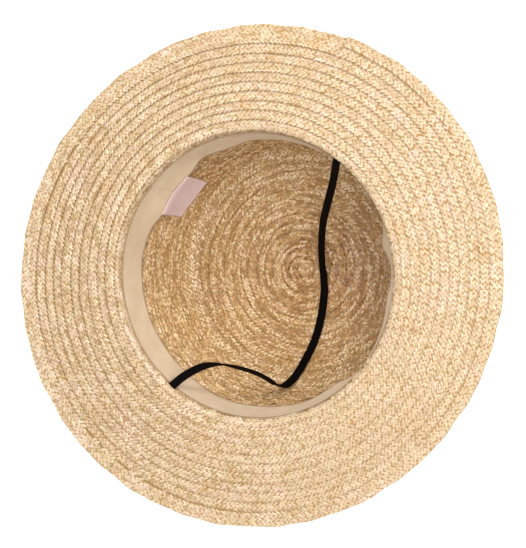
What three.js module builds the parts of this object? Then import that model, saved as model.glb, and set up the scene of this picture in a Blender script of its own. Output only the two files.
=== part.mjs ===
import * as THREE from "three";

// A straw hat lying upside down on the flat tip of its crown. Millimetres, +Z up, tip at Z = 0.
// The back of the head is +Y, and the chin strap is sewn in at the two sides, +X and -X.

const SIDES = 36;              // facets round the crown, the brim and the sweatband
const GAP = 0.3;               // clearance between neighbouring pieces

const STRAW_THICK = 2.0;       // two layers of plait, one row lapped over the next
const ROW_STEP = 0.9;          // height of the lap from one row to the next
const CROWN_ROWS = 31;         // rows of plait from the middle of the tip to the lap
const HEAD_RADIUS = 87.5;      // straw face at the head line
const TIP_FLAT_RADIUS = 71.4;  // flat part of the tip
const TIP_CORNER = 12;         // rounding from the tip into the wall, middle of the straw
const WALL_LEAN = 5.7;         // degrees, lean of the wall just above the rounding
const WALL_BELLY = [88.0, 62]; // radius and height that the wall bulges towards
const LAP_START = 104;         // height where crown and brim start to lap
const LAP_HEIGHT = 5;          // one row of each, sewn through
const LAP_THICK = 0.85;        // a single layer of plait

const BRIM_BEND = 3.5;         // bend from the lap into the brim, middle of the straw
const BRIM_RADIUS = 153.4;     // mean radius of the brim's edge
const BRIM_OVAL = 2.7;         // the edge is this much wider on its long axis and narrower on its short
const BRIM_OVAL_TURN = -12;    // degrees, direction of the long axis
const BRIM_ROW = 5.8;          // row pitch on the brim
const BRIM_ROWS = 11;          // the outermost row shows its whole width

const BAND_TOP = 108.6;        // height of the sewn edge of the sweatband
const BAND_WIDTH = 30;
const BAND_THICK = 1.0;
const BAND_SEAM = 90;          // degrees, where the two ends of the ribbon meet
const BAND_END_GAP = 0.15;     // degrees on each side of the seam

// How far the free edge of the ribbon leans in from the straw, round the hat
const BAND_LEAN = [
  { at: 0, lean: 2.8 },
  { at: 25, lean: 2.4 },
  { at: 46, lean: 1.8 },
  { at: 56, lean: 3.4 },
  { at: 68, lean: 0.3 },
  { at: 79, lean: 4.6 },
  { at: 99, lean: 4.2 },
  { at: 108, lean: 1.0 },
  { at: 122, lean: 0.0 },
  { at: 142, lean: 0.0 },
  { at: 155, lean: 0.8 },
  { at: 166, lean: 1.0 },
  { at: 180, lean: 1.4 },
  { at: 190, lean: 0.0 },
  { at: 208, lean: 1.4 },
  { at: 235, lean: 2.7 },
  { at: 250, lean: 5.6 },
  { at: 260, lean: 2.2 },
  { at: 290, lean: 2.6 },
  { at: 323, lean: 7.0 },
  { at: 342, lean: 2.4 },
];

const LABEL_FROM = 77.5;       // degrees
const LABEL_TO = 99;
const LABEL_THICK = 1.0;
const LABEL_TOP = 82.5;         // height of its sewn edge on the band
const LABEL_LOW = 54;          // height of its free edge
const LABEL_LOW_RADIUS = 75.5; // the free edge stands off the wall

const STRAP_WIDTH = 5.4;
const STRAP_THICK = 1.2;
const STRAP_STEPS = 48;

// Middle of the strap from the +X side to the -X side. swing turns its width, in plan, away from the Y axis.
const STRAP_ROUTE = [
  { x: 85.0, y: 0.0, z: 109.2, swing: 0 },
  { x: 79.0, y: -0.2, z: 98.0, swing: 0 },
  { x: 70.5, y: -0.6, z: 85.5, swing: 0 },
  { x: 61.2, y: -0.6, z: 72.5, swing: 0 },
  { x: 51.8, y: -0.5, z: 59.0, swing: 0 },
  { x: 42.2, y: -0.7, z: 45.5, swing: 0 },
  { x: 33.2, y: -1.9, z: 33.0, swing: 0 },
  { x: 24.7, y: -4.0, z: 22.2, swing: 0 },
  { x: 16.8, y: -7.2, z: 13.8, swing: 0 },
  { x: 9.6, y: -11.5, z: 8.0, swing: 0 },
  { x: 3.2, y: -16.4, z: 4.9, swing: 0 },
  { x: -3.2, y: -21.2, z: 3.9, swing: 0 },
  { x: -17.0, y: -29.2, z: 3.9, swing: 0 },
  { x: -32.5, y: -35.5, z: 3.9, swing: 0 },
  { x: -50.4, y: -39.2, z: 4.0, swing: 0 },
  { x: -60.0, y: -40.0, z: 6.2, swing: 8 },
  { x: -66.0, y: -39.2, z: 13.2, swing: 16 },
  { x: -67.0, y: -36.2, z: 24.0, swing: 26 },
  { x: -65.4, y: -32.0, z: 36.5, swing: 36 },
  { x: -63.6, y: -27.9, z: 47.0, swing: 42 },
  { x: -62.7, y: -24.2, z: 56.0, swing: 45 },
  { x: -62.5, y: -20.8, z: 64.0, swing: 45 },
  { x: -62.6, y: -17.3, z: 71.5, swing: 42 },
  { x: -63.1, y: -13.7, z: 78.5, swing: 36 },
  { x: -64.2, y: -10.3, z: 84.7, swing: 28 },
  { x: -66.2, y: -7.4, z: 90.0, swing: 20 },
  { x: -69.0, y: -5.0, z: 94.5, swing: 12 },
  { x: -72.6, y: -3.1, z: 98.7, swing: 6 },
  { x: -76.7, y: -1.6, z: 102.6, swing: 2 },
  { x: -80.8, y: -0.6, z: 106.0, swing: 0 },
  { x: -84.8, y: 0.0, z: 109.0, swing: 0 },
];

const STRAW = new THREE.MeshStandardMaterial({ color: 0xdcc097, roughness: 0.75 });
const CREAM = new THREE.MeshStandardMaterial({ color: 0xd4be9b, roughness: 0.9 });
const BLACK = new THREE.MeshStandardMaterial({ color: 0x14110f, roughness: 0.9 });
const PALE = new THREE.MeshStandardMaterial({ color: 0xcbaaa0, roughness: 0.8 });

const degrees = THREE.MathUtils.degToRad;

// A point beside a path in the radius-height plane. Positive offsets go into the hollow of the hat.
function beside(path, length, offset) {
  const share = length / path.getLength();
  const point = path.getPointAt(share);
  const along = path.getTangentAt(share);
  return new THREE.Vector2(point.x - along.y * offset, point.y + along.x * offset);
}

// One face of a wall of lapped rows. Every row tilts: its first edge stands one step nearer the hollow.
function lappedFace(path, rowLines, offset) {
  const points = [];
  for (let row = 0; row + 1 < rowLines.length; row += 1) {
    points.push(beside(path, rowLines[row], offset + ROW_STEP / 2));
    points.push(beside(path, rowLines[row + 1], offset - ROW_STEP / 2));
  }
  return points;
}

// A profile of radius and height turned round the Z axis
function turned(profile) {
  return new THREE.LatheGeometry(profile, SIDES).rotateX(Math.PI / 2);
}

// A closed skin over matching rings of points, with both ends capped
function skinned(rings) {
  const count = rings[0].length;
  const positions = rings.flat().flatMap((point) => [point.x, point.y, point.z]);
  const faces = [];
  for (let ring = 0; ring + 1 < rings.length; ring += 1) {
    for (let side = 0; side < count; side += 1) {
      const here = ring * count + side;
      const next = ring * count + ((side + 1) % count);
      faces.push(here, next, next + count, here, next + count, here + count);
    }
  }
  const last = (rings.length - 1) * count;
  for (let side = 0; side + 1 < count / 2; side += 1) {
    const across = count - 1 - side;
    faces.push(side, across, across - 1, side, across - 1, side + 1);
    faces.push(last + side, last + across - 1, last + across, last + side, last + side + 1, last + across - 1);
  }
  const geometry = new THREE.BufferGeometry();
  geometry.setAttribute("position", new THREE.Float32BufferAttribute(positions, 3));
  geometry.setIndex(faces);
  geometry.computeVertexNormals();
  return geometry;
}

// Crown: tip, rounding and wall in one spiral of plait, thinned to a single layer where it laps the brim
function crownGeometry() {
  const tipLevel = STRAW_THICK / 2 + ROW_STEP / 2;
  const lean = degrees(WALL_LEAN);
  const path = new THREE.Path();
  path.moveTo(0, tipLevel);
  path.lineTo(TIP_FLAT_RADIUS, tipLevel);
  path.absarc(TIP_FLAT_RADIUS, tipLevel + TIP_CORNER, TIP_CORNER, -Math.PI / 2, -lean, false);
  path.quadraticCurveTo(WALL_BELLY[0], WALL_BELLY[1], HEAD_RADIUS + STRAW_THICK / 2, LAP_START);

  const pitch = path.getLength() / CROWN_ROWS;
  const rowLines = Array.from({ length: CROWN_ROWS + 1 }, (_, row) => row * pitch);
  const flatRows = Math.floor(TIP_FLAT_RADIUS / pitch);
  const bandRows = Math.floor((BAND_WIDTH - LAP_HEIGHT - BRIM_BEND) / pitch);
  const outside = lappedFace(path, rowLines.slice(flatRows), -STRAW_THICK / 2);
  const inside = lappedFace(path, rowLines.slice(0, CROWN_ROWS + 1 - bandRows), STRAW_THICK / 2);

  const tongueOut = HEAD_RADIUS + STRAW_THICK;
  const tongueTop = LAP_START + LAP_HEIGHT - GAP;
  const profile = [
    new THREE.Vector2(0, 0),
    new THREE.Vector2(flatRows * pitch, 0),
    ...outside,
    new THREE.Vector2(tongueOut, tongueTop),
    new THREE.Vector2(tongueOut - LAP_THICK, tongueTop),
    new THREE.Vector2(tongueOut - LAP_THICK, LAP_START),
    ...inside.reverse(),
  ];
  profile[profile.length - 1].x = 0;
  return turned(profile);
}

// Brim: a single-layer collar inside the crown's last row, a bend, and the flat ring of rows
function brimGeometry() {
  const middle = HEAD_RADIUS + STRAW_THICK / 2;
  const bendCentre = middle + BRIM_BEND;
  const lapEnd = LAP_START + LAP_HEIGHT;
  const path = new THREE.Path();
  path.moveTo(middle, lapEnd);
  path.absarc(bendCentre, lapEnd, BRIM_BEND, Math.PI, Math.PI / 2, true);
  path.lineTo(BRIM_RADIUS, lapEnd + BRIM_BEND);

  const rowLines = Array.from({ length: BRIM_ROWS }, (_, row) => row * BRIM_ROW);
  rowLines.push(path.getLength());
  const collarOut = HEAD_RADIUS + LAP_THICK;
  const profile = [
    new THREE.Vector2(collarOut, LAP_START + GAP),
    new THREE.Vector2(collarOut, lapEnd),
    ...lappedFace(path, rowLines, -STRAW_THICK / 2),
    ...lappedFace(path, rowLines, STRAW_THICK / 2).reverse(),
    new THREE.Vector2(HEAD_RADIUS, lapEnd),
    new THREE.Vector2(HEAD_RADIUS, LAP_START + GAP),
    new THREE.Vector2(collarOut, LAP_START + GAP),
  ];
  const geometry = turned(profile);
  const places = geometry.getAttribute("position");
  for (let index = 0; index < places.count; index += 1) {
    const x = places.getX(index);
    const y = places.getY(index);
    const radius = Math.hypot(x, y);
    const out = Math.max(0, (radius - bendCentre) / (BRIM_RADIUS - bendCentre));
    const turn = 2 * (Math.atan2(y, x) - degrees(BRIM_OVAL_TURN));
    const grow = 1 + (BRIM_OVAL * out * Math.cos(turn)) / radius;
    places.setXY(index, x * grow, y * grow);
  }
  return geometry;
}

function bandLean(angle) {
  const at = ((angle % 360) + 360) % 360;
  const next = BAND_LEAN.findIndex((row) => row.at > at);
  const before = BAND_LEAN[(next < 0 ? BAND_LEAN.length : next) - 1];
  const after = next < 0 ? { at: 360, lean: BAND_LEAN[0].lean } : BAND_LEAN[next];
  return THREE.MathUtils.lerp(before.lean, after.lean, (at - before.at) / (after.at - before.at));
}

// Radius of the ribbon's outer face. share is 0 at the sewn edge and 1 at the free edge.
function bandRadius(angle, share) {
  const sewn = HEAD_RADIUS - GAP;
  return sewn - share - bandLean(angle) * share ** 1.5;
}

// A point on the ribbon, following its flat facets between the corners
function bandPoint(angle, share, inset) {
  const facet = 360 / SIDES;
  const from = Math.floor(angle / facet + 1e-9) * facet;
  const height = BAND_TOP - BAND_WIDTH * share;
  const corners = [from, from + facet].map((corner) => {
    const radius = bandRadius(corner, share) - inset;
    const turn = degrees(corner);
    return new THREE.Vector3(radius * Math.cos(turn), radius * Math.sin(turn), height);
  });
  return corners[0].lerp(corners[1], (angle - from) / facet);
}

// Sweatband: one ribbon round the head line, sewn along its upper edge, ends meeting at the back
function bandGeometry() {
  const facet = 360 / SIDES;
  const angles = [BAND_SEAM + BAND_END_GAP];
  for (let step = 1; step < SIDES; step += 1) {
    angles.push(BAND_SEAM + step * facet);
  }
  angles.push(BAND_SEAM + 360 - BAND_END_GAP);
  const shares = [0, 0.5, 1];
  const rings = angles.map((angle) => [
    ...shares.map((share) => bandPoint(angle, share, 0)),
    ...shares.toReversed().map((share) => bandPoint(angle, share, BAND_THICK)),
  ]);
  return skinned(rings);
}

// Label: a blank tag sewn on the ribbon by its upper edge, the rest hanging free
function labelGeometry() {
  const sewnShare = (BAND_TOP - LABEL_TOP) / BAND_WIDTH;
  const angles = [LABEL_FROM, 80, 85, 90, 95, LABEL_TO];
  const rings = angles.map((angle) => {
    const turn = degrees(angle);
    const inward = new THREE.Vector3(-Math.cos(turn), -Math.sin(turn), 0);
    const sewn = bandPoint(angle, sewnShare, BAND_THICK + GAP);
    const edge = bandPoint(angle, 1, BAND_THICK + GAP);
    const low = inward.clone().multiplyScalar(-LABEL_LOW_RADIUS).setZ(LABEL_LOW);
    const face = [sewn, edge, low];
    const inner = face.map((point) => point.clone().addScaledVector(inward, LABEL_THICK));
    return [...face, ...inner.reverse()];
  });
  return skinned(rings);
}

// Chin strap: one flat elastic, whole length, lying on the tip between its two sewn ends
function strapGeometry() {
  const route = new THREE.CatmullRomCurve3(STRAP_ROUTE.map((row) => new THREE.Vector3(row.x, row.y, row.z)));
  const halfWide = STRAP_WIDTH / 2;
  const halfThick = STRAP_THICK / 2;
  const bevel = 0.35;
  const section = [
    [halfWide, halfThick - bevel],
    [halfWide - bevel, halfThick],
    [bevel - halfWide, halfThick],
    [-halfWide, halfThick - bevel],
    [-halfWide, bevel - halfThick],
    [bevel - halfWide, -halfThick],
    [halfWide - bevel, -halfThick],
    [halfWide, bevel - halfThick],
  ];
  const rings = [];
  for (let step = 0; step <= STRAP_STEPS; step += 1) {
    const share = step / STRAP_STEPS;
    const place = route.getPointAt(share);
    const along = route.getTangentAt(share);
    const row = route.getUtoTmapping(share) * (STRAP_ROUTE.length - 1);
    const before = STRAP_ROUTE[Math.floor(row)];
    const after = STRAP_ROUTE[Math.ceil(row)];
    const swing = degrees(THREE.MathUtils.lerp(before.swing, after.swing, row - Math.floor(row)));
    const across = new THREE.Vector3(Math.sin(swing), -Math.cos(swing), 0);
    across.addScaledVector(along, -across.dot(along)).normalize();
    const face = new THREE.Vector3().crossVectors(along, across);
    rings.push(section.map(([wide, thick]) =>
      place.clone().addScaledVector(across, wide).addScaledVector(face, thick)));
  }
  return skinned(rings);
}

const hat = new THREE.Group();
hat.name = "straw_hat";

function add(name, geometry, material) {
  const mesh = new THREE.Mesh(geometry, material);
  mesh.name = name;
  hat.add(mesh);
}

add("crown", crownGeometry(), STRAW);
add("brim", brimGeometry(), STRAW);
add("sweatband", bandGeometry(), CREAM);
add("chin_strap", strapGeometry(), BLACK);
add("label", labelGeometry(), PALE);

export default hat;
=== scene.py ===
import math
import bpy
import numpy as np
from mathutils import Matrix, Vector


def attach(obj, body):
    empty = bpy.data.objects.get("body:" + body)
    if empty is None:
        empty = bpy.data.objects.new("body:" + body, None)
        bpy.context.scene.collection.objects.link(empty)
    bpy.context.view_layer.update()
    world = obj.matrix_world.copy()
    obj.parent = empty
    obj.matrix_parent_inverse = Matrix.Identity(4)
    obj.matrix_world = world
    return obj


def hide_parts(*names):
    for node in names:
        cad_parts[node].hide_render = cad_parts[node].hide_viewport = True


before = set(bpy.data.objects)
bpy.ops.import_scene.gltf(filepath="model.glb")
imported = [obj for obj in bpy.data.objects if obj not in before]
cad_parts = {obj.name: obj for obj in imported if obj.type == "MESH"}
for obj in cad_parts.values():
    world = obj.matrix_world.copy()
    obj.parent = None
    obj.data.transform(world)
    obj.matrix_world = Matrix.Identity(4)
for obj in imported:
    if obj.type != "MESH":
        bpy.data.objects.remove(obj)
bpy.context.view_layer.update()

# Crown: one endless plait of split straw, sewn row over row in a spiral from the middle of the tip to the
# head line. Every row tilts, so that its first edge stands over the row before, and its straws show as
# short slanted floats on both faces.
MM = 0.001
INSIDE = 1
OUTSIDE = -1
STRAW_THICK = 0.0020
PROFILE_SAMPLES = 3000
ROW_START = math.radians(14.5)
ROW_STEP = 0.0009
# Waves along the spiral, as rate per turn, size and shift. The step's sizes are shares of it, the drift's
# are metres.
ROW_STEP_WAVES = ((0.61, 0.25, 1.0), (2.7, 0.2, 0.0))
ROW_DRIFT_WAVES = (
    (0.37, 0.00022, 0.3),
    (0.83, 0.00020, 2.1),
    (1.37, 0.00016, 4.4),
    (2.21, 0.00012, 1.2),
    (3.30, 0.00010, 5.0),
)
ROW_LINES = (0.0, 0.5, 1.0)
KNOT_RADIUS = 0.004
KNOT_COLOUR = (0.62, 0.42, 0.2)
# Painted shade: the dark brown of the ground that shows in the gaps between the straws.
GAP_SHADE_COLOUR = (0.48, 0.31, 0.14)

BANDS = 4
SLANT = math.radians(27)
FLOAT_LIFT = 0.00032
FLOAT_CREST = 0.00028
FLOAT_DIP = 0.00005
FLOAT_ROUND = 0.00008
FLOAT_REACH = 1.15
FLOAT_HALF = 0.51
FLOAT_NOD = 0.7
FEWEST_FLOATS = 6
NARROWEST = 0.002
FIRST_FLOAT = 0.0005
LAST_FLOAT = 0.0002
EDGE_INSET = 0.45
JITTER = {"turn": 0.10, "row": 0.00008, "slant": 0.09, "width": 0.06, "crest": 0.00005, "tilt": 0.00015}

STRAW_SHADES = {
    0.00: (0.36, 0.23, 0.11),
    0.25: (0.62, 0.45, 0.25),
    0.50: (0.81, 0.62, 0.40),
    0.75: (0.93, 0.77, 0.57),
    1.00: (1.00, 0.92, 0.76),
}
ROSY = np.array([0.04, -0.03, 0.13])
ZONE = 0.0085
ZONE_SKEW = 0.9
FEWEST_ZONES = 3
PATCH_SHARE = 0.6
GRAIN_SPREAD = 40
# Painted shade: darkening of each straw towards its ends, where it dives under its neighbours.
DIVE_SHADE = np.array([0.10, 0.14, 0.19])
# Painted shade: darkening along the strip of each row that lies under the next row's edge, from this share of
# the row on.
ROW_SHADE = np.array([0.66, 0.74, 0.82])
ROW_SHADE_FROM = 0.80
ROW_SHADE_RUN = 0.15
# Painted shade: a broad darker, browner patch round the crown's middle, set off to the +X, -Y side, darker on
# the darker straws.
MIDDLE_SHADE_CENTRE = np.array([0.011, -0.015])
MIDDLE_SHADE_RADIUS = 0.048
MIDDLE_SHADE_DIM = np.array([0.45, 0.60, 0.75])
MIDDLE_SHADE_DARK = 1.5
MIDDLE_SHADE_PALE = 0.95


def dense(points):
    """Evenly spaced samples of a profile of radius and height, with the normal that points into the hat."""
    points = np.asarray(points)
    run = np.r_[0, np.cumsum(np.linalg.norm(np.diff(points, axis=0), axis=1))]
    at = np.linspace(0, run[-1], PROFILE_SAMPLES)
    radius = np.interp(at, run, points[:, 0])
    height = np.interp(at, run, points[:, 1])
    in_r = -np.gradient(height, at)
    in_z = np.gradient(radius, at)
    return {"at": at, "radius": radius, "height": height, "in_r": in_r, "in_z": in_z, "length": run[-1]}


def on_profile(profile, at, turn, lift):
    """Points at a run along the profile and an angle round the hat, lifted off it into the hat."""
    at = np.clip(at, 0, profile["length"])
    look = {key: np.interp(at, profile["at"], profile[key]) for key in ("radius", "height", "in_r", "in_z")}
    radius = np.maximum(look["radius"] + look["in_r"] * lift, 0)
    height = look["height"] + look["in_z"] * lift
    return np.stack([radius * np.cos(turn), radius * np.sin(turn), height], axis=-1)


def waves(table, turns):
    """Sum of the waves of a table at so many turns along the spiral."""
    return sum(size * np.sin(2 * np.pi * rate * turns + shift) for rate, size, shift in table)


def row_start(first, pitch, turns):
    """Run along the profile where a row begins after so many turns, with the drift of sewing by hand."""
    return first + pitch * turns + waves(ROW_DRIFT_WAVES, turns)


def row_lift(share, face, turns):
    """Lift of a row's surface. share is 0 at its first edge and 1 where the next row begins."""
    step = ROW_STEP * (1 + waves(ROW_STEP_WAVES, turns))
    return face * (STRAW_THICK / 2 - FLOAT_LIFT) + step * (0.5 - np.clip(share, 0, 1))


def ground(profile, first, pitch, rows, columns):
    """The tilted rows below the floats, inside face out to the end and back along the outside face."""
    turn = np.linspace(0, 1, columns + 1)
    lines = []
    for row in range(rows):
        start = row_start(first, pitch, row + turn)
        end = row_start(first, pitch, row + 1 + turn)
        if row + 1 == rows:
            end = np.full_like(start, profile["length"])
        for share in ROW_LINES:
            lines.append((start + (end - start) * share, share, row + turn))
    points = []
    for face, order in ((INSIDE, lines), (OUTSIDE, lines[::-1])):
        for at, share, turns in order:
            lift = row_lift(share, face, turns)
            points.append(on_profile(profile, at, ROW_START + 2 * np.pi * turn, lift))
    count = len(points)
    points = np.array(points).reshape(-1, 3)
    index = np.arange(len(points)).reshape(count, columns + 1)
    quads = np.stack([index[:-1, :-1], index[:-1, 1:], index[1:, 1:], index[1:, :-1]], axis=-1)
    # The ground is coloured dark brown as painted shade in the gaps between the straws; only the knot at the
    # very middle is straw-coloured.
    knot = np.hypot(points[:, 0], points[:, 1]) < KNOT_RADIUS
    colours = np.where(knot[:, None], KNOT_COLOUR, GAP_SHADE_COLOUR)
    return points, quads.reshape(-1, 4), colours, np.zeros((len(points), 2))


def each(values):
    """One value for each straw, held all over its patch."""
    return values[:, None, None]


def floats(profile, first, pitch, rows, face, shown, look, seed, edge=False):
    """The straws of the plait, each an arched patch that passes over two others before it dives under two."""
    rng = np.random.default_rng(seed)
    along, across = np.meshgrid([-1.0, 0.0, 1.0], [-1.0, 0.0, 1.0], indexing="ij")
    band = pitch / BANDS
    width = band * math.cos(SLANT)
    reach = FLOAT_REACH * width / math.sin(2 * SLANT)
    points, colours, grain = [], [], []
    for row in range(rows):
        whole = edge and row + 1 == rows
        middle = np.interp(first + pitch * (row + 1), profile["at"], profile["radius"])
        count = max(FEWEST_FLOATS, round(2 * np.pi * middle * math.sin(SLANT) / width))
        zones = max(FEWEST_ZONES, round(2 * np.pi * middle / ZONE))
        zone_tone, zone_rosy = rng.random((2, BANDS, zones))
        for level in range(2 * BANDS if whole else BANDS):
            turn = (np.arange(count) + rng.random() + rng.normal(0, JITTER["turn"], count)) / count
            start = row_start(first, pitch, row + turn)
            if whole:
                span = profile["length"] - start
                centre = profile["length"] - (level + EDGE_INSET) * band
            else:
                span = row_start(first, pitch, row + 1 + turn) - start
                centre = start + (level + 0.5) / BANDS * span
            centre = centre + rng.normal(0, JITTER["row"], count)
            keep = (centre > FIRST_FLOAT) & (centre < profile["length"] - LAST_FLOAT)
            keep = keep & (centre > start) & shown(centre)

            way = 1 if level % 2 else -1
            lean = face * way * (SLANT + rng.normal(0, JITTER["slant"], count))
            cos, sin = each(np.cos(lean)), each(np.sin(lean))
            half_a = reach * along + np.zeros((count, 1, 1))
            half_b = width * FLOAT_HALF * each(1 + rng.normal(0, JITTER["width"], count)) * across
            at = each(centre) + half_a * sin + half_b * cos
            radius = each(np.maximum(np.interp(centre, profile["at"], profile["radius"]), NARROWEST))
            angle = ROW_START + 2 * np.pi * each(turn) + (half_a * cos - half_b * sin) / radius
            share = (at - each(start)) / each(span)
            crest = each(rng.normal(FLOAT_CREST, JITTER["crest"], count))
            roll, nod = rng.normal(0, JITTER["tilt"], (2, count, 1, 1))
            bulge = crest * (1 - along ** 2) - FLOAT_DIP * along ** 2 - FLOAT_ROUND * across ** 2
            bulge = bulge + roll * across + FLOAT_NOD * nod * along
            spots = on_profile(profile, at, angle, row_lift(share, face, row + each(turn)) + face * bulge)
            points.append(spots[keep])

            zone = turn * zones + ZONE_SKEW * (level / BANDS - 0.5)
            patch_tone = np.interp(zone, np.arange(zones), zone_tone[level % BANDS], period=zones)
            patch_rosy = np.interp(zone, np.arange(zones), zone_rosy[level % BANDS], period=zones)
            tone = PATCH_SHARE * patch_tone + (1 - PATCH_SHARE) * rng.random(count)
            rosy = PATCH_SHARE * patch_rosy + (1 - PATCH_SHARE) * rng.random(count)
            # Painted shade along the strip of each row that lies under the next row's edge; none on the inside
            # face of the outermost row.
            lapped = share if face == INSIDE else 1 - share
            below = np.clip((lapped - ROW_SHADE_FROM) / ROW_SHADE_RUN, 0, 1)
            if whole and face == INSIDE:
                below = 0 * below
            colours.append(float_colours(look, turn, tone, rosy, below, along, spots)[keep])
            home = rng.random((count, 2)) * GRAIN_SPREAD
            strip = np.stack([each(home[:, 0]) + half_a / MM, each(home[:, 1]) + half_b / MM], axis=-1)
            grain.append(strip[keep])
    points = np.concatenate(points).reshape(-1, 3)
    corner = np.array([[0, 3, 4, 1], [1, 4, 5, 2]])
    patch = np.concatenate([corner, corner + 3])
    quads = (np.arange(len(points) // 9)[:, None, None] * 9 + patch).reshape(-1, 4)
    if face == INSIDE:
        quads = quads[:, ::-1]
    return points, quads, np.concatenate(colours).reshape(-1, 3), np.concatenate(grain).reshape(-1, 2)


def float_colours(look, turn, tone, rosy, below, along, spots):
    """Colours all over each straw, with painted shade where it dives, below the next row and round the crown's
    middle, and less contrast towards the front as painted light.
    """
    # Painted light: the tone spread and the painted shade are weakened towards the front, to follow how the
    # light falls on the brim.
    light_contrast = 1 - look["calm"] * (0.5 - 0.5 * np.sin(ROW_START + 2 * np.pi * turn))
    tone = np.clip(0.5 + look["contrast"] * light_contrast * (tone - 0.5), 0, 1) ** look["brown"]
    tone = look["floor"] + (1 - look["floor"]) * tone
    shades = np.array(list(STRAW_SHADES.values()))
    own = np.stack([np.interp(tone, list(STRAW_SHADES), shade) for shade in shades.T], axis=-1)
    own = own * (1 + np.multiply.outer(rosy - 0.5, ROSY))
    # Painted shade at the straw's ends, where it dives under its neighbours.
    dive = np.multiply.outer(along ** 2 * each(light_contrast), look["dive"] * DIVE_SHADE)
    # Painted shade under the next row's edge.
    lap = np.multiply.outer(look["row"] * below * each(light_contrast), ROW_SHADE)
    # Painted shade in a broad patch round the crown's middle, set off to one side.
    far = ((spots[..., :2] - MIDDLE_SHADE_CENTRE) ** 2).sum(-1)
    worn = look["worn"] * np.exp(-far / MIDDLE_SHADE_RADIUS ** 2) * each(MIDDLE_SHADE_DARK - MIDDLE_SHADE_PALE * tone)
    return own[:, None, None, :] * (1 - dive) * (1 - lap) * (1 - np.multiply.outer(worn, MIDDLE_SHADE_DIM))


def straw_object(name, made, material, smooth):
    """A mesh with a colour for every straw and a flat map along its fibres."""
    points, quads, colours, grain = made
    mesh = bpy.data.meshes.new(name)
    mesh.vertices.add(len(points))
    mesh.vertices.foreach_set("co", points.astype(np.float32).ravel())
    mesh.loops.add(quads.size)
    mesh.loops.foreach_set("vertex_index", quads.astype(np.int32).ravel())
    mesh.polygons.add(len(quads))
    mesh.polygons.foreach_set("loop_start", np.arange(0, quads.size, 4, dtype=np.int32))
    mesh.polygons.foreach_set("use_smooth", np.full(len(quads), smooth))
    paint = mesh.color_attributes.new("straw", "FLOAT_COLOR", "POINT")
    paint.data.foreach_set("color", np.c_[colours, np.ones(len(colours))].astype(np.float32).ravel())
    strip = mesh.uv_layers.new(name="grain")
    strip.data.foreach_set("uv", grain[quads.ravel()].astype(np.float32).ravel())
    mesh.update()
    mesh.validate()
    piece = bpy.data.objects.new(name, mesh)
    bpy.context.scene.collection.objects.link(piece)
    mesh.materials.append(material)
    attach(piece, "root")
    return piece


def new_material(name, roughness, gloss):
    """A material with its node tree and its shader."""
    material = bpy.data.materials.new(name)
    material.use_nodes = True
    shader = material.node_tree.nodes["Principled BSDF"]
    shader.inputs["Roughness"].default_value = roughness
    shader.inputs["Specular IOR Level"].default_value = gloss
    return material, material.node_tree, shader


def flat_map(tree, name):
    """Place on one of the mesh's flat maps."""
    place = tree.nodes.new("ShaderNodeUVMap")
    place.uv_map = name
    return place.outputs["UV"]


def cloudy(tree, where, scale, detail):
    """Uneven patches."""
    noise = tree.nodes.new("ShaderNodeTexNoise")
    noise.inputs["Scale"].default_value = scale
    noise.inputs["Detail"].default_value = detail
    tree.links.new(where, noise.inputs["Vector"])
    return noise.outputs["Fac"]


def ramp(tree, value, stops):
    """Colours along a value, as pairs of place and colour in rising order."""
    node = tree.nodes.new("ShaderNodeValToRGB")
    ends = node.color_ramp.elements
    for element, (at, colour) in zip((ends[0], ends[1]), (stops[0], stops[-1])):
        element.position = at
        element.color = (*colour, 1.0)
    for at, colour in stops[1:-1]:
        ends.new(at).color = (*colour, 1.0)
    tree.links.new(value, node.inputs["Fac"])
    return node.outputs["Color"]


def colour_mix(tree, blend):
    """A mix of the colours A and B."""
    mix = tree.nodes.new("ShaderNodeMix")
    mix.data_type = "RGBA"
    mix.blend_type = blend
    mix.inputs["Factor"].default_value = 1.0
    return mix


def raise_bumps(tree, height, strength, distance, shader):
    """Fine relief from a height."""
    bump = tree.nodes.new("ShaderNodeBump")
    bump.inputs["Strength"].default_value = strength
    bump.inputs["Distance"].default_value = distance
    tree.links.new(height, bump.inputs["Height"])
    tree.links.new(bump.outputs["Normal"], shader.inputs["Normal"])


def straw_material(name, tint, roughness, gloss):
    """Satin straw: a colour for each straw, fine lengthwise fibres, and broad uneven ageing."""
    material, tree, shader = new_material(name, roughness, gloss)
    strand = tree.nodes.new("ShaderNodeAttribute")
    strand.attribute_name = "straw"
    squeeze = tree.nodes.new("ShaderNodeMapping")
    squeeze.inputs["Scale"].default_value = (0.25, 5.0, 1.0)
    tree.links.new(flat_map(tree, "grain"), squeeze.inputs["Vector"])
    fibre = cloudy(tree, squeeze.outputs["Vector"], 1.6, 4.0)
    shade = tree.nodes.new("ShaderNodeMapRange")
    shade.inputs["From Min"].default_value = 0.3
    shade.inputs["From Max"].default_value = 0.7
    shade.inputs["To Min"].default_value = 0.80
    shade.inputs["To Max"].default_value = 1.08
    tree.links.new(fibre, shade.inputs["Value"])
    tinted = colour_mix(tree, "MULTIPLY")
    tinted.inputs["A"].default_value = (*tint, 1.0)
    tree.links.new(strand.outputs["Color"], tinted.inputs["B"])
    fibrous = tree.nodes.new("ShaderNodeVectorMath")
    fibrous.operation = "SCALE"
    tree.links.new(tinted.outputs["Result"], fibrous.inputs[0])
    tree.links.new(shade.outputs["Result"], fibrous.inputs["Scale"])
    where = tree.nodes.new("ShaderNodeTexCoord")
    patch = cloudy(tree, where.outputs["Object"], 85.0, 3.0)
    aged = colour_mix(tree, "MULTIPLY")
    tree.links.new(fibrous.outputs["Vector"], aged.inputs["A"])
    tree.links.new(ramp(tree, patch, (
        (0.30, (0.95, 0.86, 0.74)),
        (0.42, (0.98, 0.94, 0.88)),
        (0.50, (0.97, 0.97, 0.90)),
        (0.58, (1.00, 0.95, 0.95)),
        (0.70, (1.00, 0.98, 1.00)),
    )), aged.inputs["B"])
    tree.links.new(aged.outputs["Result"], shader.inputs["Base Color"])
    raise_bumps(tree, fibre, 0.35, 0.0001, shader)
    return material


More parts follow.
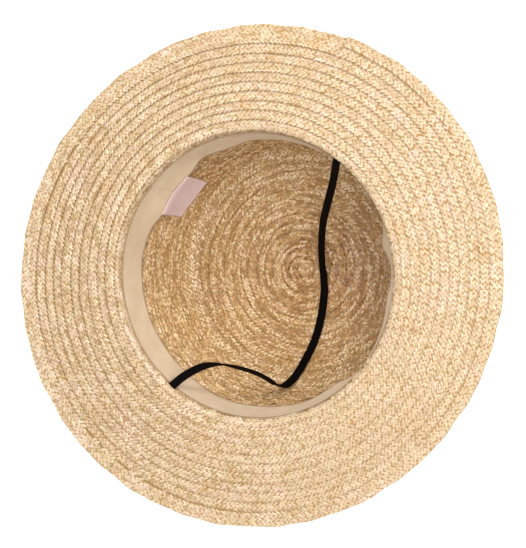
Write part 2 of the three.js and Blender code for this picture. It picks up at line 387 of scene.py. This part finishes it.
TIP_FLAT = 0.0714
TIP_CORNER = 0.012
TIP_CLEAR = 0.0004
WALL_LEAN = 5.7
WALL_BELLY = np.array([0.088, 0.062])
WALL_TOP = 0.104
HEAD_RADIUS = 0.0885
HEAD_LEVEL = 0.1065
tip_level = STRAW_THICK / 2 + ROW_STEP / 2 + TIP_CLEAR
corner = np.radians(np.linspace(-90, -WALL_LEAN, 24))
corner_points = np.c_[TIP_FLAT + TIP_CORNER * np.cos(corner), tip_level + TIP_CORNER * (1 + np.sin(corner))]
part = np.linspace(0, 1, 40)[1:, None]
wall_points = (1 - part) ** 2 * corner_points[-1] + 2 * part * (1 - part) * WALL_BELLY
wall_points = wall_points + part ** 2 * np.array([HEAD_RADIUS, WALL_TOP])
crown_profile = dense(np.r_[[[0, tip_level]], corner_points, wall_points, [[HEAD_RADIUS, HEAD_LEVEL]]])

CROWN_PITCH = 0.00576
CROWN_ROWS = math.ceil(crown_profile["length"] / CROWN_PITCH) + 2
CROWN_FIRST = -1.5 * CROWN_PITCH
CROWN_COLUMNS = 144
BEHIND_BAND = 0.157
crown_spiral = (crown_profile, CROWN_FIRST, CROWN_PITCH, CROWN_ROWS)

# How the straws of a face vary: the spread of their tones, how brown they are, their darkest tone, how much
# painted shade darkens them where they dip under, below the next row and round the crown's middle, and how much
# of this is weakened towards the front as painted light.
INSIDE_LOOK = {"contrast": 2.2, "brown": 1.15, "floor": 0.2, "dive": 1.3, "row": 0.85, "worn": 1, "calm": 0}
PALE_LOOK = {"contrast": 0.75, "brown": 0.93, "floor": 0, "dive": 0.7, "row": 1, "worn": 0, "calm": 0.55}
straw_gap_shade = straw_material("straw_gap_shade", (1.0, 1.0, 1.0), 0.9, 0.0)
straw = straw_material("straw", (0.93, 0.918, 0.935), 0.3, 0.5)
straw_brown = straw_material("straw_brown", (1.10, 1.0, 0.84), 0.24, 0.5)
crown_core = straw_object("crown_core", ground(*crown_spiral, CROWN_COLUMNS), straw_gap_shade, False)
seen_inside = floats(*crown_spiral, INSIDE, lambda at: at < BEHIND_BAND, INSIDE_LOOK, seed=21)
straw_object("crown_inside", seen_inside, straw_brown, True)
seen_outside = floats(*crown_spiral, OUTSIDE, lambda at: at > 0, PALE_LOOK, seed=22)
straw_object("crown_outside", seen_outside, straw, True)
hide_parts("crown")

# Brim: the same plait carried on from the head line. It bends out of the crown and lies flat, a little
# longer on one axis, and its outermost row shows its whole width, with the cut end at one side.
BRIM_PITCH = 0.0058
BRIM_RADIUS = 0.1534
BRIM_BEND = 0.0035
BEND_LEVEL = 0.109
BRIM_FIRST = -0.0065
BRIM_ROWS = 12
BRIM_COLUMNS = 240
BRIM_UNDER_FROM = 0.0006
BRIM_OFFSET = np.array([-0.0011, 0.0004])
BRIM_OVAL = 0.0027
BRIM_OVAL_TURN = math.radians(12)
END_STEP = 0.0016
EDGE_WAVE = 0.00022
EDGE_WAVES = ((31, 0.7), (47, 0.0), (19, 2.0))
bend_radius = HEAD_RADIUS + BRIM_BEND
bend = np.radians(np.linspace(180, 90, 16))
bend_points = np.c_[bend_radius + BRIM_BEND * np.cos(bend), BEND_LEVEL + BRIM_BEND * np.sin(bend)]
brim_profile = dense(np.r_[[[HEAD_RADIUS, HEAD_LEVEL]], bend_points, [[BRIM_RADIUS, BEND_LEVEL + BRIM_BEND]]])
brim_spiral = (brim_profile, BRIM_FIRST, BRIM_PITCH, BRIM_ROWS)


def spread_oval(points):
    """Brim points moved out along the long axis and in along the short, with the step at the plait's end."""
    radius = np.hypot(points[:, 0], points[:, 1])
    turn = np.arctan2(points[:, 1], points[:, 0])
    out = np.clip((radius - bend_radius) / (BRIM_RADIUS - bend_radius), 0, None)
    since = np.mod(turn - ROW_START, 2 * np.pi) / (2 * np.pi)
    ripple = sum(np.sin(count * turn + shift) for count, shift in EDGE_WAVES)
    grow = BRIM_OVAL * out * np.cos(2 * (turn + BRIM_OVAL_TURN))
    grow = grow + END_STEP * out ** 6 * (since - 0.5) + EDGE_WAVE * out ** 8 * ripple
    moved = points.copy()
    moved[:, :2] *= (1 + grow / radius)[:, None]
    moved[:, :2] += out[:, None] * BRIM_OFFSET
    return moved


def brim_object(name, made, material, smooth):
    """A straw mesh of the brim, brought to its oval."""
    points, *rest = made
    return straw_object(name, (spread_oval(points), *rest), material, smooth)


brim_core = brim_object("brim_core", ground(*brim_spiral, BRIM_COLUMNS), straw_gap_shade, False)
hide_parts("brim")
seen_under = floats(*brim_spiral, INSIDE, lambda at: at > BRIM_UNDER_FROM, PALE_LOOK, seed=31, edge=True)
brim_object("brim_under", seen_under, straw, True)
seen_top = floats(*brim_spiral, OUTSIDE, lambda at: at > 0, PALE_LOOK, seed=32, edge=True)
brim_object("brim_top", seen_top, straw, True)

# Sweatband: a cream woven ribbon sewn round the inside of the head line by its upper edge. Its free edge
# waves a little and stands off the straw, and its two ends lap at the back.
BAND_TOP = 0.1082
BAND_WIDTH = 0.030
BAND_THICK = 0.0006
BAND_RADIUS = 0.0873
BAND_TAPER = 0.0010
BAND_WEAVE_RADIUS = 0.0860
SEWN_TUCK = 0.0013
SEWN_SHARE = 0.02
BAND_SEAM = 88.0
BAND_END = 450.01
BAND_STEP = 0.75
BAND_LAP = 0.00085
BAND_LAP_RUN = 5.0
LEAN_CURVE = 1.6
LEAN_LEAST = 0.1
LEAN_STEP = 0.5
LEAN_SMOOTH = 4.5
LEAN_SMOOTH_REACH = 24
RIPPLE_SHARE = 0.5
RIPPLE_SIZE = (0.04, 0.16)
RIPPLE_SHIFT = 6.28
RIPPLE_COUNTS = (9, 13, 17, 23, 31)
# Angle round the hat in degrees, and how far the free edge leans in from the straw there in millimetres
BAND_LEAN = np.array([
    (0, 2.8), (25, 2.4), (46, 1.8), (56, 3.2), (70, 0.3), (74, 3.8), (79, 5.0), (90, 5.4),
    (99.5, 6.6), (107, 2.0), (122, 0.0), (142, 0.0), (155, 0.8), (166, 1.0), (180, 1.4), (190, 0.0),
    (208, 1.4), (235, 2.7), (250, 5.6), (260, 2.2), (275, 5.0), (288, 7.2), (296.4, 9.0), (304, 7.2),
    (314, 7.6), (321.7, 12.2), (328, 7.0), (336, 3.4), (342, 2.4), (360, 2.8),
])
fine = np.arange(0, 360, LEAN_STEP)
lean_fine = np.interp(fine, BAND_LEAN[:, 0], BAND_LEAN[:, 1])
window = np.exp(-0.5 * (np.arange(-LEAN_SMOOTH_REACH, LEAN_SMOOTH_REACH + 1) / LEAN_SMOOTH) ** 2)
lean_ring = np.r_[lean_fine[-LEAN_SMOOTH_REACH:], lean_fine, lean_fine[:LEAN_SMOOTH_REACH]]
lean_fine = np.convolve(lean_ring, window / window.sum(), "valid")
rng = np.random.default_rng(5)
ripple = sum(rng.uniform(*RIPPLE_SIZE) * np.sin(np.radians(fine) * count + rng.uniform(0, RIPPLE_SHIFT))
             for count in RIPPLE_COUNTS)


def band_point(angle, share, inset):
    """A point on the ribbon, share running from the sewn edge to the free edge."""
    around = np.mod(angle, 360)
    lean = np.interp(around, fine, lean_fine + RIPPLE_SHARE * ripple, period=360) + LEAN_LEAST
    tuck = SEWN_TUCK * np.clip(1 - share / SEWN_SHARE, 0, 1)
    radius = BAND_RADIUS + tuck - BAND_TAPER * share - np.maximum(lean, 0) * MM * share ** LEAN_CURVE - inset
    turn = np.radians(angle)
    height = BAND_TOP - BAND_WIDTH * share
    return np.stack([radius * np.cos(turn), radius * np.sin(turn), height + 0 * angle], axis=-1)


def tube_faces(rings, count):
    """Faces of a tube of so many rings, closed at both ends."""
    index = np.arange(rings * count).reshape(rings, count)
    turned = np.roll(index, -1, axis=1)
    sides = np.stack([index[:-1], turned[:-1], turned[1:], index[1:]], axis=-1).reshape(-1, 4)
    return sides.tolist() + [index[0].tolist()[::-1], index[-1].tolist()]


def woven_object(name, points, faces, weave, material, node):
    """A smooth mesh of woven stuff, with a flat map in millimetres along and across the weave."""
    mesh = bpy.data.meshes.new(name)
    mesh.from_pydata(points.reshape(-1, 3).tolist(), [], faces)
    mesh.polygons.foreach_set("use_smooth", np.ones(len(mesh.polygons), dtype=bool))
    flat = mesh.uv_layers.new(name="weave")
    corners = np.array([loop.vertex_index for loop in mesh.loops])
    flat.data.foreach_set("uv", weave[corners].astype(np.float32).ravel())
    piece = bpy.data.objects.new(name, mesh)
    bpy.context.scene.collection.objects.link(piece)
    mesh.materials.append(material)
    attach(piece, "root")
    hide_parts(node)
    return piece


def ribs(tree, direction, scale, distortion):
    """Even threads across the weave's flat map."""
    thread = tree.nodes.new("ShaderNodeTexWave")
    thread.bands_direction = direction
    thread.inputs["Scale"].default_value = scale
    thread.inputs["Distortion"].default_value = distortion
    tree.links.new(flat_map(tree, "weave"), thread.inputs["Vector"])
    return thread.outputs["Fac"]


columns = np.arange(BAND_SEAM, BAND_END, BAND_STEP)
shares = np.r_[0, 0.01, 0.02, 0.025, 0.05, np.linspace(0.1, 1, 11)]
lap = BAND_LAP * np.clip(1 - (columns - BAND_SEAM) / BAND_LAP_RUN, 0, 1)
band_faces = []
for inset, order in ((0.0, shares), (BAND_THICK, shares[::-1])):
    for share in order:
        band_faces.append(band_point(columns, np.full_like(columns, share), inset + lap))
band_rings = np.array(band_faces).transpose(1, 0, 2)
band_along = np.repeat(np.radians(columns) * BAND_WEAVE_RADIUS / MM, 2 * len(shares))
band_across = np.tile(np.r_[shares, shares[::-1]] * BAND_WIDTH / MM, len(columns))

ribbon, tree, shader = new_material("ribbon", 0.85, 0.2)
shader.inputs["Sheen Weight"].default_value = 0.15
soft = cloudy(tree, flat_map(tree, "weave"), 0.09, 3.0)
cream = ramp(tree, soft, ((0.3, (0.77, 0.60, 0.40)), (0.7, (0.86, 0.70, 0.50))))
apart = tree.nodes.new("ShaderNodeSeparateXYZ")
tree.links.new(flat_map(tree, "weave"), apart.inputs["Vector"])
# Painted shade: the ribbon's top edge, under the straw row, is darkened to a thin dark brown line.
sewn = tree.nodes.new("ShaderNodeMapRange")
sewn.inputs["From Min"].default_value = 0.55
sewn.inputs["From Max"].default_value = 0.95
tree.links.new(apart.outputs["Y"], sewn.inputs["Value"])
edge_shade = colour_mix(tree, "MIX")
edge_shade.inputs["A"].default_value = (0.36, 0.24, 0.13, 1.0)
tree.links.new(sewn.outputs["Result"], edge_shade.inputs["Factor"])
tree.links.new(cream, edge_shade.inputs["B"])
tree.links.new(edge_shade.outputs["Result"], shader.inputs["Base Color"])
raise_bumps(tree, ribs(tree, "X", 0.42, 0.4), 0.25, 0.0002, shader)
sweatband = woven_object("sweatband_ribbon", band_rings, tube_faces(len(columns), 2 * len(shares)),
                         np.c_[band_along, band_across], ribbon, "sweatband")

# Label: a small blank woven tag, sewn on the ribbon by its upper edge near the back. The rest hangs free
# and curls a little away from the wall.
TAG_FROM = 78.2
TAG_TO = 99.7
TAG_MIDDLE = 88.0
TAG_COLUMNS = 29
TAG_ROWS = 25
TAG_TOP = 0.0825
TAG_LOW = 0.0540
TAG_FREE_FROM = 0.0793
TAG_LOW_RADIUS = 0.0755
TAG_THICK = 0.00035
TAG_STAND = 0.0011
TAG_BOW = 0.0006
TAG_CURL = 0.0005
TAG_CURL_RUN = 10.5
TAG_WEAVE = (29, 27)
tag_angles = np.linspace(TAG_FROM, TAG_TO, TAG_COLUMNS)
tag_points = []
for inset in (0.0, TAG_THICK):
    for height in np.linspace(TAG_TOP, TAG_LOW, TAG_ROWS):
        share = np.full_like(tag_angles, (BAND_TOP - np.maximum(height, TAG_FREE_FROM)) / BAND_WIDTH)
        on_band = band_point(tag_angles, share, BAND_THICK)
        flush = np.hypot(on_band[:, 0], on_band[:, 1]) - TAG_STAND
        free = np.clip((TAG_FREE_FROM - height) / (TAG_FREE_FROM - TAG_LOW), 0, 1)
        curl = TAG_CURL * free * np.cos((tag_angles - TAG_MIDDLE) / TAG_CURL_RUN * np.pi)
        radius = flush * (1 - free) + TAG_LOW_RADIUS * free + TAG_BOW * np.sin(np.pi * free) - inset - curl
        turn = np.radians(tag_angles)
        tag_points.append(np.stack([radius * np.cos(turn), radius * np.sin(turn), 0 * turn + height], -1))
back, front = np.arange(2 * TAG_ROWS * TAG_COLUMNS).reshape(2, TAG_ROWS, TAG_COLUMNS)
tag_quads = []
for sheet, flip in ((back, False), (front, True)):
    quads = np.stack([sheet[:-1, :-1], sheet[:-1, 1:], sheet[1:, 1:], sheet[1:, :-1]], -1).reshape(-1, 4)
    tag_quads += (quads[:, ::-1] if flip else quads).tolist()
rims = [np.r_[sheet[0, :-1], sheet[:-1, -1], sheet[-1, :0:-1], sheet[:0:-1, 0]] for sheet in (back, front)]
tag_quads += np.stack([np.roll(rims[0], -1), *rims, np.roll(rims[1], -1)], -1).tolist()
tag_across = np.tile(np.linspace(0, TAG_WEAVE[0], TAG_COLUMNS), 2 * TAG_ROWS)
tag_down = np.tile(np.repeat(np.linspace(0, TAG_WEAVE[1], TAG_ROWS), TAG_COLUMNS), 2)

satin, tree, shader = new_material("tag_satin", 0.5, 0.35)
thread = ribs(tree, "Y", 0.9, 0.6)
rose = ramp(tree, thread, ((0.0, (0.74, 0.55, 0.54)), (1.0, (0.90, 0.72, 0.73))))
tree.links.new(rose, shader.inputs["Base Color"])
raise_bumps(tree, thread, 0.3, 0.0001, shader)
label = woven_object("label_tag", np.array(tag_points), tag_quads, np.c_[tag_across, tag_down],
                     satin, "label")

# Chin strap: flat black woven elastic, both ends sewn in at the head line. It drops to the tip, lies along
# it, turns up at the rounding and comes back to the other side.
STRAP_WIDTH = 0.0054
STRAP_THICK = 0.0012
STRAP_STEPS = 10
STRAP_RIB = 0.0005
STRAP_RIBS = (3, 2, 1, 0, -1, -2, -3)
# Middle of the strap in millimetres, and how far its width swings in plan from the Y axis, in degrees
STRAP_ROUTE = np.array([
    (87.0, 0.0, 111.0, 0), (79.0, -0.2, 98.0, 0), (70.5, -0.6, 85.5, 0), (61.2, -0.6, 72.5, 0),
    (51.8, -0.5, 59.0, 0), (42.2, -0.7, 45.5, 0), (33.2, -1.9, 33.0, 0), (24.7, -4.0, 22.2, 0),
    (16.8, -7.2, 13.8, 0), (9.6, -11.5, 8.0, 0), (3.2, -16.4, 4.9, 0), (-3.2, -21.2, 3.9, 0),
    (-17.0, -29.2, 3.9, 0), (-33.5, -35.7, 3.9, 0), (-52.4, -39.2, 4.1, 0), (-63.2, -39.9, 5.8, 8),
    (-68.6, -39.0, 12.6, 16), (-68.2, -36.2, 24.0, 26), (-65.4, -32.0, 36.5, 36), (-63.6, -27.9, 47.0, 42),
    (-62.7, -24.2, 56.0, 45), (-62.5, -20.8, 64.0, 45), (-62.6, -17.3, 71.5, 42), (-63.1, -13.7, 78.5, 36),
    (-64.2, -10.3, 84.7, 28), (-66.2, -7.4, 90.0, 20), (-69.0, -5.0, 94.5, 12), (-72.6, -3.1, 98.7, 6),
    (-76.7, -1.6, 102.6, 2), (-80.8, -0.6, 106.0, 0), (-87.2, 0.2, 110.8, 0),
])
before_start = 2 * STRAP_ROUTE[0] - STRAP_ROUTE[1]
past_end = 2 * STRAP_ROUTE[-1] - STRAP_ROUTE[-2]
padded = np.r_[[before_start], STRAP_ROUTE, [past_end]]
walk = []
for before, here, after, beyond in zip(padded[:-3], padded[1:-2], padded[2:-1], padded[3:]):
    for step in np.linspace(0, 1, STRAP_STEPS, endpoint=False):
        straight = 2 * here + (after - before) * step
        curved = (2 * before - 5 * here + 4 * after - beyond) * step ** 2
        eased = (3 * here - before - 3 * after + beyond) * step ** 3
        walk.append(0.5 * (straight + curved + eased))
walk = np.array(walk + [STRAP_ROUTE[-1]])
middle = walk[:, :3] * MM
travelled = np.r_[0, np.cumsum(np.linalg.norm(np.diff(middle, axis=0), axis=1))]
ahead = np.gradient(middle, axis=0)
ahead /= np.linalg.norm(ahead, axis=1)[:, None]
swing = np.radians(walk[:, 3])
wide = np.c_[np.sin(swing), -np.cos(swing), np.zeros(len(swing))]
wide -= (wide * ahead).sum(1)[:, None] * ahead
wide /= np.linalg.norm(wide, axis=1)[:, None]
flat_face = np.cross(ahead, wide)
section = []
for side, from_deg in ((1, -90), (-1, 90)):
    for bend_at in np.radians(np.linspace(from_deg, from_deg + 180, 5)):
        section.append((side * (STRAP_WIDTH - STRAP_THICK) / 2 + STRAP_THICK / 2 * math.cos(bend_at),
                        STRAP_THICK / 2 * math.sin(bend_at)))
    section += [(side * rib * STRAP_RIB, side * STRAP_THICK / 2) for rib in STRAP_RIBS]
section = np.array(section)
strap_rings = middle[:, None] + wide[:, None] * section[None, :, :1] + flat_face[:, None] * section[None, :, 1:]
strap_along = np.repeat(travelled / MM, len(section))
strap_across = np.tile(section[:, 0] / MM, len(middle))

elastic, tree, shader = new_material("black_elastic", 0.8, 0.06)
weave = tree.nodes.new("ShaderNodeMath")
weave.operation = "MULTIPLY"
tree.links.new(ribs(tree, "Y", 0.45, 0.0), weave.inputs[0])
tree.links.new(ribs(tree, "X", 0.6, 0.0), weave.inputs[1])
black = ramp(tree, weave.outputs["Value"], ((0.0, (0.0018, 0.0011, 0.0009)), (1.0, (0.0065, 0.0045, 0.004))))
tree.links.new(black, shader.inputs["Base Color"])
raise_bumps(tree, weave.outputs["Value"], 0.6, 0.0002, shader)
strap = woven_object("chin_strap_elastic", strap_rings, tube_faces(len(middle), len(section)),
                     np.c_[strap_along, strap_across], elastic, "chin_strap")

# Stage: a wide white floor that glows faintly, a bright even surround, and four soft lights. The strongest
# two stand to the front on the +X side, one above the other.
FLOOR_HALF = 6
PAPER_WHITE = (0.92, 0.92, 0.92, 1.0)
PAPER_GLOW = 0.4
SURROUND_WHITE = (1.0, 1.0, 1.0, 1.0)
SURROUND_STRENGTH = 0.36
LIT_POINT = Vector((0, 0, 0.1))
# Name, angle round the hat and rise in degrees, distance and size in metres, power in watts
LAMPS = (
    ("key", 30, 42, 1.5, 0.5, 7.2),
    ("side", -40, 50, 1.6, 1.2, 14.2),
    ("above", -46, 72, 1.6, 0.7, 8.4),
    ("fill", 150, 62, 1.6, 1.0, 6.0),
)
floor_corners = [(-FLOOR_HALF, -FLOOR_HALF, 0), (FLOOR_HALF, -FLOOR_HALF, 0),
                 (FLOOR_HALF, FLOOR_HALF, 0), (-FLOOR_HALF, FLOOR_HALF, 0)]
floor_mesh = bpy.data.meshes.new("floor")
floor_mesh.from_pydata(floor_corners, [], [(0, 1, 2, 3)])
floor = bpy.data.objects.new("floor", floor_mesh)
bpy.context.scene.collection.objects.link(floor)
paper = bpy.data.materials.new("paper")
paper.use_nodes = True
shader = paper.node_tree.nodes["Principled BSDF"]
shader.inputs["Base Color"].default_value = PAPER_WHITE
shader.inputs["Roughness"].default_value = 0.9
shader.inputs["Emission Color"].default_value = (1.0, 1.0, 1.0, 1.0)
shader.inputs["Emission Strength"].default_value = PAPER_GLOW
floor_mesh.materials.append(paper)

world = bpy.data.worlds.new("surround")
bpy.context.scene.world = world
world.use_nodes = True
sky = world.node_tree.nodes["Background"]
sky.inputs["Color"].default_value = SURROUND_WHITE
sky.inputs["Strength"].default_value = SURROUND_STRENGTH
bpy.context.scene.view_settings.view_transform = "Standard"

for name, turn, rise, far, size, power in LAMPS:
    lamp = bpy.data.lights.new(name, "AREA")
    lamp.size = size
    lamp.energy = power
    light = bpy.data.objects.new(name, lamp)
    bpy.context.scene.collection.objects.link(light)
    level = math.cos(math.radians(rise))
    toward = Vector((level * math.cos(math.radians(turn)), level * math.sin(math.radians(turn)),
                     math.sin(math.radians(rise))))
    light.location = LIT_POINT + far * toward
    light.rotation_euler = toward.to_track_quat("Z", "Y").to_euler()

# Camera: above the upturned hat, leaning towards the front on the +X side, turned so that the back of the
# hat lies to the upper left.
LEAN = math.radians(18.5)
PICTURE_TURN = math.radians(52.3)
LEAN_IN_PICTURE = math.radians(7.94)
CAMERA_FAR = 1.0
LOOK_AT = Vector((0, 0, 0.110))
LENS = 107.9
SENSOR = 36.0
PICTURE_PIXELS = 548
SHIFT_RIGHT_PIXELS = 9.9
SHIFT_UP_PIXELS = 1.8
stand = LEAN_IN_PICTURE - PICTURE_TURN
towards = Vector((math.cos(stand), math.sin(stand), 0))
beside = Vector((-math.sin(stand), math.cos(stand), 0))
upright = Vector((0, 0, 1))
slope = math.cos(LEAN) * towards - math.sin(LEAN) * upright
right = math.cos(LEAN_IN_PICTURE) * slope - math.sin(LEAN_IN_PICTURE) * beside
up = math.sin(LEAN_IN_PICTURE) * slope + math.cos(LEAN_IN_PICTURE) * beside
back_to_camera = math.sin(LEAN) * towards + math.cos(LEAN) * upright
lens = bpy.data.cameras.new("camera")
lens.lens = LENS
lens.sensor_width = SENSOR
lens.shift_x = SHIFT_RIGHT_PIXELS / PICTURE_PIXELS
lens.shift_y = SHIFT_UP_PIXELS / PICTURE_PIXELS
camera = bpy.data.objects.new("camera", lens)
bpy.context.scene.collection.objects.link(camera)
facing = Matrix((right, up, back_to_camera)).transposed().to_4x4()
camera.matrix_world = Matrix.Translation(LOOK_AT + CAMERA_FAR * back_to_camera) @ facing
bpy.context.scene.camera = camera
